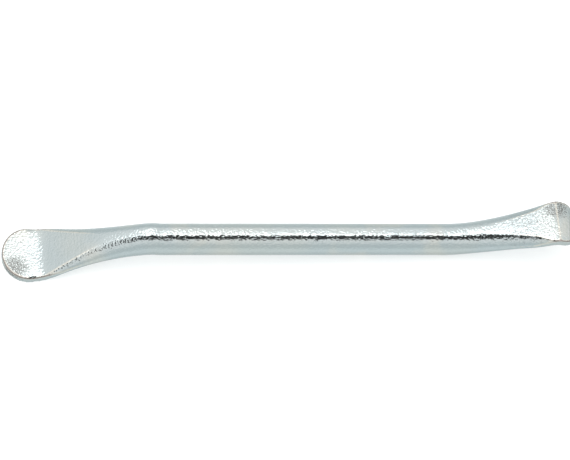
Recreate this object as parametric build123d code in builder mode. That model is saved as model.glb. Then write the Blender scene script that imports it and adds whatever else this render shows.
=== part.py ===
# Forged lever bar: a round bar with a dished spoon at one end and a hooked tip at the other.
# Lengths in mm, angles in degrees. The forging is laid out along its shank, then turned into
# the pose in which it lies on a floor.
import math
import os

from build123d import *

os.makedirs("parts", exist_ok=True)

# Bar stock
bar_d = 16.0
overall_l = 292.0

# Spoon end, set out from its blunt round end
spoon_w = 29.4
spoon_nose_l = 13.3
spoon_l = 20.0
spoon_edge_t = 3.4
spoon_root_t = 4.0
spoon_drop = 18.2
spoon_ramp = 27.0
spoon_bend_r = 6.0
spoon_knee_l = 50.0
spoon_knee_ramp = 20.0
spoon_knee_r = 30.0
spoon_neck_l = 51.0
spoon_forged_l = 70.0

# Hooked tip, set out from its round end
tip_w = 23.8
tip_nose_l = 10.9
tip_l = 12.6
tip_edge_t = 3.6
tip_root_t = 4.6
tip_rise = 18.4
tip_ramp = 13.5
tip_ramp_r = 40.0
tip_back_ramp = 26.0
tip_hook_l = 6.0
tip_hook = 13.0
tip_hook_end = 32.0
tip_hook_r = 8.0
tip_bend_r = 1.5
tip_neck_l = 39.5
tip_forged_l = 65.0

# How the round bar turns into a flat blade: bow, widening and thinning along each end
spoon_rates = (1.2, 2.3, 1.4)
tip_rates = (1.4, 1.9, 1.0)
end_steps = 6
lead_in = 8.0

# Metal left over for the die faces to cut, and the die faces' gap over the shank
flank_over = 1.2
spoon_belly_over = 2.2
tip_belly_over = 2.8
blade_over = 3.0
die_gap = 2.2

bar_r = bar_d / 2
neck_w = bar_d + 2 * die_gap
crest_x = overall_l - tip_l
spoon_round_x = spoon_forged_l
tip_round_x = overall_l - tip_forged_l

# The bar lies on the spoon's underside and on the heel where the shank starts to rise
rest_slope = (spoon_drop - bar_r) / tip_round_x
rest_tilt = math.degrees(math.atan(rest_slope))


def floor_z(x):
    return x * rest_slope - spoon_drop


def steep(angle):
    return math.tan(math.radians(angle))


spoon_face_z = floor_z(spoon_l) + spoon_root_t
spoon_mid_z = floor_z(spoon_l) + spoon_root_t / 2
tip_mid_z = tip_rise - tip_root_t / 2
hook_z = tip_rise - tip_hook_l * steep(tip_hook)
tip_end_z = hook_z - (tip_l - tip_hook_l + die_gap) * steep(tip_hook_end)

# Each end: end of the round bar, bend, its height, width, thickness and spare metal, the rates,
# and the far side of the blade with its height
spoon_end = (
    spoon_round_x,
    spoon_l,
    spoon_mid_z,
    spoon_w,
    spoon_root_t,
    spoon_belly_over,
    spoon_rates,
    -die_gap,
    floor_z(-die_gap) + spoon_edge_t / 2,
)
tip_end = (
    tip_round_x,
    crest_x,
    tip_mid_z,
    tip_w,
    tip_root_t,
    tip_belly_over,
    tip_rates,
    overall_l + die_gap,
    tip_end_z - tip_edge_t / 2,
)

with BuildPart() as forging:
    # Round shank
    with BuildSketch(Plane.YZ.offset(spoon_round_x + lead_in)):
        Circle(bar_r)
    extrude(amount=tip_round_x - spoon_round_x - 2 * lead_in)

    # Forged ends: bulging flanks that widen and thin down from the round bar, then a blade
    for round_x, bend_x, bend_z, blade_w, blade_t, over, rates, far_x, far_z in (spoon_end, tip_end):
        bow, widen, thin = rates
        half_w = blade_w / 2 + flank_over
        half_t = blade_t / 2 + over
        with BuildSketch(Plane.YZ.offset(round_x + math.copysign(lead_in, round_x - bend_x))):
            Circle(bar_r)
        for step in range(end_steps + 1):
            share = step / end_steps
            across = bar_r + (half_w - bar_r) * share**widen
            deep = bar_r + (half_t - bar_r) * share**thin
            with BuildSketch(Plane.YZ.offset(round_x + (bend_x - round_x) * share)):
                with Locations((0, bend_z * share**bow)):
                    Ellipse(across, deep)
        for share in (0.5, 1):
            with BuildSketch(Plane.YZ.offset(bend_x + (far_x - bend_x) * share)):
                with Locations((0, bend_z + (far_z - bend_z) * share)):
                    Ellipse(blade_w / 2 + blade_over, blade_t / 2 + blade_over)
        loft()

    # Upper and lower die faces, seen from the side
    over_z = bar_r + die_gap
    knee_z = spoon_face_z + (spoon_knee_l - spoon_l) * steep(spoon_ramp)
    back_z = tip_rise - tip_root_t
    back_slope = steep(tip_back_ramp)
    heel_x = (crest_x * back_slope - back_z - spoon_drop) / (back_slope - rest_slope)
    side_points = [
        (-die_gap, floor_z(-die_gap)),
        (-die_gap, floor_z(-die_gap) + spoon_edge_t),
        (spoon_l, spoon_face_z),
        (spoon_knee_l, knee_z),
        (spoon_knee_l + (over_z - knee_z) / steep(spoon_knee_ramp), over_z),
        (crest_x - (tip_rise - over_z) / steep(tip_ramp), over_z),
        (crest_x, tip_rise),
        (crest_x + tip_hook_l, hook_z),
        (overall_l + die_gap, tip_end_z),
        (overall_l + die_gap, tip_end_z - tip_edge_t),
        (crest_x + tip_hook_l, hook_z - tip_root_t),
        (crest_x, back_z),
        (heel_x, floor_z(heel_x)),
    ]
    side_radii = [0, 0, spoon_bend_r, spoon_knee_r, 0, tip_ramp_r, tip_bend_r, tip_hook_r]
    side_radii += [0, 0, tip_hook_r, tip_bend_r, 0]
    with BuildSketch(Plane.XZ):
        with BuildLine():
            FilletPolyline(*side_points, radius=side_radii, close=True)
        make_face()
    extrude(amount=spoon_w, both=True, mode=Mode.INTERSECT)

    # Blade outlines, seen from above
    with BuildSketch() as spoon_outline:
        with Locations((spoon_nose_l, 0)):
            Ellipse(spoon_nose_l, spoon_w / 2)
        with Locations((spoon_neck_l, 0)):
            Rectangle(die_gap, neck_w)
        make_hull()
    with BuildSketch() as tip_outline:
        with Locations((overall_l - tip_nose_l, 0)):
            Ellipse(tip_nose_l, tip_w / 2)
        with Locations((overall_l - tip_neck_l, 0)):
            Rectangle(die_gap, neck_w)
        make_hull()
    with BuildSketch(mode=Mode.PRIVATE) as outline:
        add(spoon_outline.sketch)
        add(tip_outline.sketch)
        with Locations(((spoon_neck_l + overall_l - tip_neck_l) / 2, 0)):
            Rectangle(overall_l - tip_neck_l - spoon_neck_l, neck_w)
    extrude(outline.sketch, amount=spoon_w, both=True, mode=Mode.INTERSECT)

# Lying on the floor, centred over the origin
lying = (Rot(0, rest_tilt, 0) * forging.part).bounding_box()
with BuildPart() as pry_bar:
    with Locations((-lying.center().X, 0, -lying.min.Z)):
        add(forging.part, rotation=(0, rest_tilt, 0))

pry_bar.part.label = "pry_bar"
export_step(pry_bar.part, "parts/pry_bar.step")
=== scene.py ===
import math

import bmesh
import bpy
from mathutils import Matrix, Vector


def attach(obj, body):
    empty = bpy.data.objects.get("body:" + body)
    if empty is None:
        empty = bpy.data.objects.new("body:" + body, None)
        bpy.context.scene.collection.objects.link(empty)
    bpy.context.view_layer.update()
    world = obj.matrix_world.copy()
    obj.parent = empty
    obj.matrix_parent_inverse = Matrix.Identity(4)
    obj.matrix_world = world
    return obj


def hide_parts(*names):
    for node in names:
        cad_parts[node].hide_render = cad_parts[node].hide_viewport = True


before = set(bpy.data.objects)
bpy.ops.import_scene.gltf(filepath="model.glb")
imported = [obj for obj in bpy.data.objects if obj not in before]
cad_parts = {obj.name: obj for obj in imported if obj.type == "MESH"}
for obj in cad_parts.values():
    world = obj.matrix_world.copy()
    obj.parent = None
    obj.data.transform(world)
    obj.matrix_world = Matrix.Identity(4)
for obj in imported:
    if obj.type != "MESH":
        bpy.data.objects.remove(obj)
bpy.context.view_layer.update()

# Lengths in metres
MM = 0.001

# Where the camera stands round the bar, and the frame it fills
CAMERA_AZIMUTH = -16.2
CAMERA_ELEVATION = 58.4
CAMERA_ROLL = 12.6
CAMERA_DISTANCE = 2.0
CAMERA_LENS = 250.75
CAMERA_AIM = Vector((-3.9, 4.8, 12.9)) * MM

# Mesh of the forging, and its skin: the broad hammer swells, the fine pits, how many times the
# bends and the proud upper edges are spread over their neighbours, and the seed of the unevenness
SKIN_STEP = 0.47 * MM
CREASE_PASSES = 4
SKIN = {
    "Swell Depth": 0.06 * MM,
    "Swell Length": 14 * MM,
    "Pit Depth": 0.03 * MM,
    "Pit Length": 2.2 * MM,
    "Bend Passes": 45,
    "Edge Passes": 6,
    "Seed": 4.0,
}


def name_inputs(tree):
    """Adds the tree's named inputs and says which socket each one is."""
    sockets = {}
    for title in SKIN:
        sockets[title] = tree.interface.new_socket(title, in_out="INPUT", socket_type="NodeSocketFloat")
    finish = tree.interface.new_socket("Finish", in_out="INPUT", socket_type="NodeSocketMaterial")
    sockets["Finish"] = finish
    return {title: socket.identifier for title, socket in sockets.items()}


def math_node(tree, operation, first, second=None):
    """One step of arithmetic on one or two inputs, each a number or another node's socket."""
    node = tree.nodes.new("ShaderNodeMath")
    node.operation = operation
    for socket, value in zip(node.inputs, (first, second)):
        if value is None:
            continue
        if isinstance(value, (int, float)):
            socket.default_value = value
        else:
            tree.links.new(value, socket)
    return node.outputs[0]


def forged_skin_tree():
    """A forging's skin: broad hammer swells, fine pits, and how far each upper edge stands proud, for the
    rub and the painted highlight on it.
    """
    tree = bpy.data.node_groups.new("forged_skin", "GeometryNodeTree")
    tree.interface.new_socket("Geometry", in_out="INPUT", socket_type="NodeSocketGeometry")
    tree.interface.new_socket("Geometry", in_out="OUTPUT", socket_type="NodeSocketGeometry")
    sockets = name_inputs(tree)
    nodes, links = tree.nodes, tree.links
    given = nodes.new("NodeGroupInput")
    done = nodes.new("NodeGroupOutput")
    place = nodes.new("GeometryNodeInputPosition")
    facing = nodes.new("GeometryNodeInputNormal")

    def hollows(depth, length, detail):
        noise = nodes.new("ShaderNodeTexNoise")
        noise.noise_dimensions = "4D"
        noise.inputs["Detail"].default_value = detail
        links.new(place.outputs[0], noise.inputs["Vector"])
        links.new(given.outputs["Seed"], noise.inputs["W"])
        links.new(math_node(tree, "DIVIDE", 1.0, given.outputs[length]), noise.inputs["Scale"])
        return math_node(tree, "MULTIPLY", noise.outputs["Fac"], given.outputs[depth])

    swell = hollows("Swell Depth", "Swell Length", 1.0)
    pits = hollows("Pit Depth", "Pit Length", 2.0)
    inward = math_node(tree, "MULTIPLY", math_node(tree, "ADD", swell, pits), -1.0)
    push = nodes.new("ShaderNodeVectorMath")
    push.operation = "SCALE"
    links.new(facing.outputs[0], push.inputs[0])
    links.new(inward, push.inputs["Scale"])

    # How far a point stands proud of its neighbours, in hundredths of a millimetre
    around = nodes.new("GeometryNodeBlurAttribute")
    around.data_type = "FLOAT_VECTOR"
    links.new(place.outputs[0], around.inputs["Value"])
    links.new(given.outputs["Edge Passes"], around.inputs["Iterations"])
    off = nodes.new("ShaderNodeVectorMath")
    off.operation = "SUBTRACT"
    links.new(place.outputs[0], off.inputs[0])
    links.new(around.outputs[0], off.inputs[1])
    proud = nodes.new("ShaderNodeVectorMath")
    proud.operation = "DOT_PRODUCT"
    links.new(off.outputs[0], proud.inputs[0])
    links.new(facing.outputs[0], proud.inputs[1])
    # Only what faces up counts: the underside is never handled, and the painted highlight falls on the upper
    # edges
    lean = nodes.new("ShaderNodeSeparateXYZ")
    links.new(facing.outputs[0], lean.inputs[0])
    facing_up = nodes.new("ShaderNodeMapRange")
    facing_up.inputs["From Min"].default_value = -0.05
    facing_up.inputs["From Max"].default_value = 0.20
    facing_up.inputs["To Max"].default_value = 100 / MM
    links.new(lean.outputs["Z"], facing_up.inputs["Value"])
    store = nodes.new("GeometryNodeStoreNamedAttribute")
    store.inputs["Name"].default_value = "upper_edge_proudness"
    links.new(given.outputs["Geometry"], store.inputs["Geometry"])
    links.new(math_node(tree, "MULTIPLY", proud.outputs["Value"], facing_up.outputs[0]), store.inputs["Value"])

    # Bends across the upward faces are eased, and the creases and rims at their sides keep their edge
    upward = nodes.new("ShaderNodeMapRange")
    upward.inputs["From Min"].default_value = 0.78
    upward.inputs["From Max"].default_value = 0.90
    links.new(lean.outputs["Z"], upward.inputs["Value"])
    level = nodes.new("ShaderNodeMapRange")
    level.inputs["From Min"].default_value = 0.20
    level.inputs["From Max"].default_value = 0.06
    links.new(math_node(tree, "ABSOLUTE", lean.outputs["Y"]), level.inputs["Value"])
    ease = nodes.new("GeometryNodeBlurAttribute")
    ease.data_type = "FLOAT_VECTOR"
    links.new(place.outputs[0], ease.inputs["Value"])
    links.new(given.outputs["Bend Passes"], ease.inputs["Iterations"])
    loose = math_node(tree, "MULTIPLY", upward.outputs[0], level.outputs[0])
    links.new(loose, ease.inputs["Weight"])
    bend = nodes.new("GeometryNodeSetPosition")
    links.new(store.outputs["Geometry"], bend.inputs["Geometry"])
    links.new(ease.outputs[0], bend.inputs["Position"])

    move = nodes.new("GeometryNodeSetPosition")
    links.new(bend.outputs["Geometry"], move.inputs["Geometry"])
    links.new(push.outputs[0], move.inputs["Offset"])
    smooth = nodes.new("GeometryNodeSetShadeSmooth")
    links.new(move.outputs["Geometry"], smooth.inputs["Geometry"])
    whole = nodes.new("GeometryNodeRealizeInstances")
    links.new(smooth.outputs["Geometry"], whole.inputs["Geometry"])
    finish = nodes.new("GeometryNodeSetMaterial")
    links.new(whole.outputs["Geometry"], finish.inputs["Geometry"])
    links.new(given.outputs["Finish"], finish.inputs["Material"])
    links.new(finish.outputs["Geometry"], done.inputs["Geometry"])
    return tree, sockets


def mix_colours(tree, amount, first, second):
    """The first colour with an amount of the second over it."""
    node = tree.nodes.new("ShaderNodeMix")
    node.data_type = "RGBA"
    for name, value in (("Factor", amount), ("A", first), ("B", second)):
        socket = node.inputs[name]
        if isinstance(value, (int, float)):
            socket.default_value = value
        elif isinstance(value, tuple):
            socket.default_value = (*value, 1.0)
        else:
            tree.links.new(value, socket)
    return node.outputs["Result"]


def zinc_plating():
    """Bright zinc on a shot-blasted forging: orange-peel grain, drifting tint, dull pits partly painted as
    dark reflection speckle, rubbed edges partly painted as highlight.
    """
    material = bpy.data.materials.new("zinc_plated_steel")
    material.use_nodes = True
    tree = material.node_tree
    nodes, links = tree.nodes, tree.links
    shader = nodes["Principled BSDF"]
    shader.inputs["Metallic"].default_value = 1.0
    place = nodes.new("ShaderNodeTexCoord").outputs["Object"]

    def noise(length, detail=2.0, roughness=0.5, stretch=None):
        vector = place
        if stretch:
            mapping = nodes.new("ShaderNodeMapping")
            mapping.inputs["Scale"].default_value = stretch
            links.new(place, mapping.inputs["Vector"])
            vector = mapping.outputs[0]
        node = nodes.new("ShaderNodeTexNoise")
        node.inputs["Scale"].default_value = 1 / length
        node.inputs["Detail"].default_value = detail
        node.inputs["Roughness"].default_value = roughness
        links.new(vector, node.inputs["Vector"])
        return node.outputs["Fac"]

    def between(value, low, high, out_low=0.0, out_high=1.0):
        node = nodes.new("ShaderNodeMapRange")
        node.interpolation_type = "SMOOTHSTEP"
        ends = {"From Min": low, "From Max": high, "To Min": out_low, "To Max": out_high}
        for end, number in ends.items():
            node.inputs[end].default_value = number
        links.new(value, node.inputs["Value"])
        return node.outputs[0]

    def near(spot, reach):
        """One at a spot on the bar, falling to nought at its reach."""
        gap = nodes.new("ShaderNodeVectorMath")
        gap.operation = "DISTANCE"
        links.new(place, gap.inputs[0])
        gap.inputs[1].default_value = spot
        return between(gap.outputs["Value"], 0.25 * reach, reach, 1.0, 0.0)

    grain = noise(0.95 * MM, 3.0, 0.65)
    drift = noise(34 * MM, 1.0)
    cream = between(noise(22 * MM, 2.0), 0.56, 0.70, 0.0, 0.5)
    straw = math_node(
        tree,
        "MAXIMUM",
        near((-36 * MM, -5 * MM, 9 * MM), 13 * MM),
        near((-101 * MM, -6 * MM, 9 * MM), 10 * MM),
    )
    cream = math_node(tree, "MAXIMUM", cream, math_node(tree, "MULTIPLY", straw, 0.55))

    # Dull pits are scattered all over, and crowd at the two working edges and over the blade; they are
    # partly painted dark reflection speckle, which stands in for the dark reflections of the curving spoon,
    # crest and blade
    spoon_wear_and_painted_reflection = near((-141 * MM, -8 * MM, 4 * MM), 12 * MM)
    crest_wear_and_painted_reflection = near((134 * MM, 8 * MM, 23 * MM), 11 * MM)
    blade_wear_and_painted_reflection = math_node(tree, "MULTIPLY", near((120 * MM, 2 * MM, 22 * MM), 24 * MM), 0.50)
    wear_and_painted_reflection = math_node(tree, "MAXIMUM", math_node(tree, "MAXIMUM", spoon_wear_and_painted_reflection, crest_wear_and_painted_reflection), blade_wear_and_painted_reflection)
    crowding_and_painted_reflection = math_node(tree, "MULTIPLY", wear_and_painted_reflection, 0.23)
    pits = between(math_node(tree, "ADD", noise(0.6 * MM, 3.0, 0.7), crowding_and_painted_reflection), 0.65, 0.77)
    proudness = nodes.new("ShaderNodeAttribute")
    proudness.attribute_name = "upper_edge_proudness"
    # Cream on the proud upper edges is partly burnish and partly painted highlight along the creases; the
    # proudest rims turn brown
    burnished_and_painted_highlight = between(proudness.outputs["Fac"], 4.2, 6.4)
    browned = between(proudness.outputs["Fac"], 9.0, 16.0)

    plate = mix_colours(tree, between(drift, 0.40, 0.60), (0.665, 0.710, 0.696), (0.630, 0.695, 0.705))
    plate = mix_colours(tree, cream, plate, (0.80, 0.775, 0.700))
    # Darkens the plate at the pits: real dull pits together with painted dark reflection speckle
    plate = mix_colours(tree, math_node(tree, "MULTIPLY", pits, 0.85), plate, (0.20, 0.19, 0.18))
    # Painted highlight, partly burnish: the proud upper edges turn cream
    plate = mix_colours(tree, math_node(tree, "MULTIPLY", burnished_and_painted_highlight, 0.65), plate, (0.86, 0.82, 0.73))
    plate = mix_colours(tree, math_node(tree, "MULTIPLY", browned, 0.85), plate, (0.36, 0.31, 0.29))

    # Trimming lines run across the spoon's ramp
    lines = between(noise(0.7 * MM, 2.0, 0.6, (1.0, 0.12, 1.0)), 0.42, 0.62)
    on_ramp = near((-113 * MM, 0, 10 * MM), 18 * MM)
    lines = math_node(tree, "MULTIPLY", lines, on_ramp)
    plate = mix_colours(tree, math_node(tree, "MULTIPLY", lines, 0.22), plate, (0.50, 0.56, 0.54))
    links.new(plate, shader.inputs["Base Color"])

    rough = between(grain, 0.35, 0.65, 0.10, 0.17)
    rough = math_node(tree, "ADD", rough, math_node(tree, "MULTIPLY", pits, 0.20))
    links.new(rough, shader.inputs["Roughness"])

    peel = nodes.new("ShaderNodeBump")
    peel.inputs["Strength"].default_value = 1.0
    peel.inputs["Distance"].default_value = 0.20 * MM
    height = math_node(tree, "SUBTRACT", noise(1.1 * MM, 1.0), math_node(tree, "MULTIPLY", pits, 0.15))
    links.new(height, peel.inputs["Height"])
    links.new(peel.outputs[0], shader.inputs["Normal"])
    return material


def pry_bar():
    """The forging on a fine even mesh, with soft forged creases and its skin."""
    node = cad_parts["pry_bar"]
    mesh = node.data.copy()
    mesh.materials.clear()
    shell = bmesh.new()
    shell.from_mesh(mesh)
    bmesh.ops.remove_doubles(shell, verts=shell.verts, dist=0.002 * MM)
    bmesh.ops.recalc_face_normals(shell, faces=shell.faces)
    shell.to_mesh(mesh)
    shell.free()
    draft = bpy.data.objects.new("pry_bar_draft", mesh)
    bpy.context.scene.collection.objects.link(draft)

    even = draft.modifiers.new("even_mesh", "REMESH")
    even.mode = "VOXEL"
    even.voxel_size = SKIN_STEP
    even.use_smooth_shade = True
    soften = draft.modifiers.new("soft_creases", "SMOOTH")
    soften.factor = 0.5
    soften.iterations = CREASE_PASSES
    tree, sockets = forged_skin_tree()
    skin = draft.modifiers.new("skin", "NODES")
    skin.node_group = tree
    for title, value in SKIN.items():
        skin[sockets[title]] = value
    skin[sockets["Finish"]] = zinc_plating()

    bpy.context.view_layer.update()
    finished = draft.evaluated_get(bpy.context.evaluated_depsgraph_get())
    plain = bpy.data.meshes.new_from_object(finished)
    draft.modifiers.clear()
    bpy.data.objects.remove(draft)
    piece = bpy.data.objects.new("forged_bar", plain)
    bpy.context.scene.collection.objects.link(piece)
    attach(piece, "root")
    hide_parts("pry_bar")


def plain_surface(name, colour, roughness):
    material = bpy.data.materials.new(name)
    material.use_nodes = True
    shader = material.node_tree.nodes["Principled BSDF"]
    shader.inputs["Base Color"].default_value = (*colour, 1.0)
    shader.inputs["Roughness"].default_value = roughness
    return material


def flat_card(name, width, depth, material):
    """A flat sheet of the studio's own, lying at the origin."""
    mesh = bpy.data.meshes.new(name)
    corners = [(x * width / 2, y * depth / 2, 0) for x, y in ((-1, -1), (1, -1), (1, 1), (-1, 1))]
    mesh.from_pydata(corners, [], [(0, 1, 2, 3)])
    mesh.materials.append(material)
    card = bpy.data.objects.new(name, mesh)
    bpy.context.scene.collection.objects.link(card)
    return card


def overhead(angle, distance, along):
    """A point over the bar: angle 0 is level on the camera's side, 90 straight up, 180 level behind."""
    a = math.radians(angle)
    return Vector((along, -math.cos(a) * distance, math.sin(a) * distance))


def hang(thing, angle, distance, along):
    """Hangs a light or a card over the bar, turned to face it."""
    thing.location = overhead(angle, distance, along)
    thing.rotation_euler.x = math.radians(90 - angle)


def softbox(name, angle, distance, along, width, depth, watts):
    """A flat light that casts no shadow: the even room alone shades the floor."""
    light = bpy.data.lights.new(name, "AREA")
    light.shape = "RECTANGLE"
    light.size, light.size_y = width, depth
    light.energy = watts
    light.use_shadow = False
    box = bpy.data.objects.new(name, light)
    hang(box, angle, distance, along)
    bpy.context.scene.collection.objects.link(box)
    return box


def pale_room():
    """An even room: bright overhead, dimmer towards the horizon, with the glow of a pale table below it."""
    # How high in the room, from -1 straight down to 1 straight up, and the tone there
    tones = (
        (-0.97, (0.60, 0.645, 0.65)),
        (-0.72, (0.76, 0.815, 0.82)),
        (-0.42, (0.78, 0.835, 0.84)),
        (-0.11, (0.66, 0.71, 0.715)),
        (0.18, (0.61, 0.655, 0.66)),
        (0.32, (0.68, 0.72, 0.725)),
        (0.75, (0.93, 0.935, 0.93)),
    )
    world = bpy.data.worlds.new("studio")
    world.use_nodes = True
    nodes, links = world.node_tree.nodes, world.node_tree.links
    height = nodes.new("ShaderNodeSeparateXYZ")
    links.new(nodes.new("ShaderNodeTexCoord").outputs["Generated"], height.inputs[0])
    from_floor_to_ceiling = nodes.new("ShaderNodeMapRange")
    from_floor_to_ceiling.inputs["From Min"].default_value = -1.0
    links.new(height.outputs["Z"], from_floor_to_ceiling.inputs["Value"])
    ramp = nodes.new("ShaderNodeValToRGB")
    stops = ramp.color_ramp.elements
    while len(stops) < len(tones):
        stops.new(0.5)
    for stop, (level, colour) in zip(stops, tones):
        stop.position = (level + 1) / 2
        stop.color = (*colour, 1)
    links.new(from_floor_to_ceiling.outputs[0], ramp.inputs["Fac"])
    links.new(ramp.outputs["Color"], nodes["Background"].inputs["Color"])
    nodes["Background"].inputs["Strength"].default_value = 1.0
    return world


def studio():
    """Softboxes over and behind the bar, a black flag before them, and a pale floor."""
    pale_floor = plain_surface("pale_floor", (0.96, 0.96, 0.96), roughness=0.8)
    floor = flat_card("floor", width=8.0, depth=8.0, material=pale_floor)
    floor.visible_glossy = False
    bpy.context.scene.world = pale_room()
    bpy.context.scene.view_settings.view_transform = "Standard"

    # The bright band along the bar, deeper at the spoon and the blade, and the gleam on the spoon's edge
    softbox("deep_softbox", angle=106.7, distance=1.2, along=-0.06, width=0.32, depth=0.70, watts=0.80)
    softbox("slim_softbox", angle=101.0, distance=1.2, along=0.325, width=0.45, depth=0.44, watts=0.78)
    softbox("knee_softbox", angle=105, distance=1.2, along=-0.34, width=0.26, depth=0.40, watts=0.45)
    softbox("edge_softbox", angle=90, distance=0.6, along=-0.45, width=0.12, depth=0.14, watts=0.035)

    # Whitens the floor, and the bar doesn't mirror it
    floor_fill = softbox("floor_fill", angle=90, distance=2.5, along=0, width=3.0, depth=3.0, watts=40)
    floor_fill.visible_glossy = False

    # The dark line under the bright band
    black_cloth = plain_surface("black_cloth", (0.01, 0.01, 0.01), roughness=0.9)
    flag = flat_card("dark_flag", width=1.00, depth=0.33, material=black_cloth)
    hang(flag, angle=73.6, distance=0.6, along=0.20)
    flag.visible_camera = False
    flag.visible_diffuse = False
    flag.visible_shadow = False


def camera():
    """A long lens over the near side of the bar, turned a little so that the bar lies level."""
    a, e, r = (math.radians(v) for v in (CAMERA_AZIMUTH, CAMERA_ELEVATION, CAMERA_ROLL))
    back = Vector((math.sin(a) * math.cos(e), -math.cos(a) * math.cos(e), math.sin(e)))
    right = Vector((math.cos(a), math.sin(a), 0))
    up = back.cross(right)
    across = right * math.cos(r) + up * math.sin(r)
    over = up * math.cos(r) - right * math.sin(r)
    data = bpy.data.cameras.new("camera")
    data.lens = CAMERA_LENS
    data.sensor_width = 36
    data.clip_start, data.clip_end = 0.05, 50
    eye = bpy.data.objects.new("camera", data)
    turn = Matrix((across, over, back)).transposed()
    eye.matrix_world = Matrix.Translation(CAMERA_AIM + back * CAMERA_DISTANCE) @ turn.to_4x4()
    bpy.context.scene.collection.objects.link(eye)
    bpy.context.scene.camera = eye


camera()
pry_bar()
studio()
